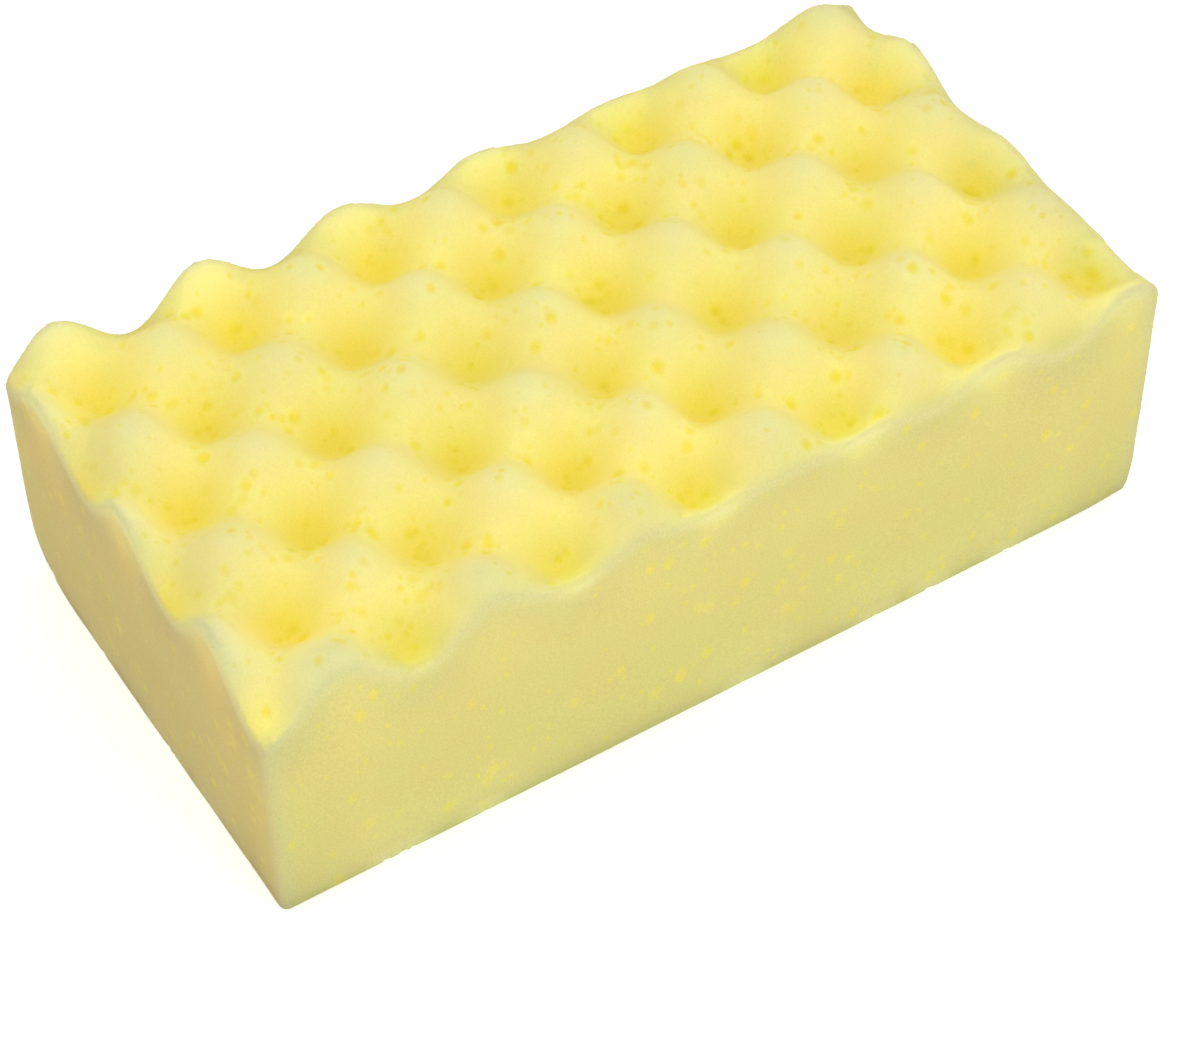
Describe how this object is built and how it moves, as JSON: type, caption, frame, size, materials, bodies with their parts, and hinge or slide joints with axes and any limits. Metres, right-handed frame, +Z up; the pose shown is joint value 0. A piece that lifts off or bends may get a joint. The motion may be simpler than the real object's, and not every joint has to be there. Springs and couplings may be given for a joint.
{
  "type": "cleaning sponge",
  "caption": "Rectangular yellow foam cleaning sponge with a flat base, straight cut sides and a convoluted top of round pits and crests.",
  "frame": {"origin": "centre of the base, where the sponge rests", "axes": "+X along the length towards the slightly higher end, +Y across the width towards the back, +Z up out of the convoluted top"},
  "size_m": [0.23, 0.121, 0.0741],
  "materials": {
    "foam": "soft matte open-cell foam"
  },
  "bodies": {
    "root": {"foam_block": "foam"}
  },
  "joints": []
}
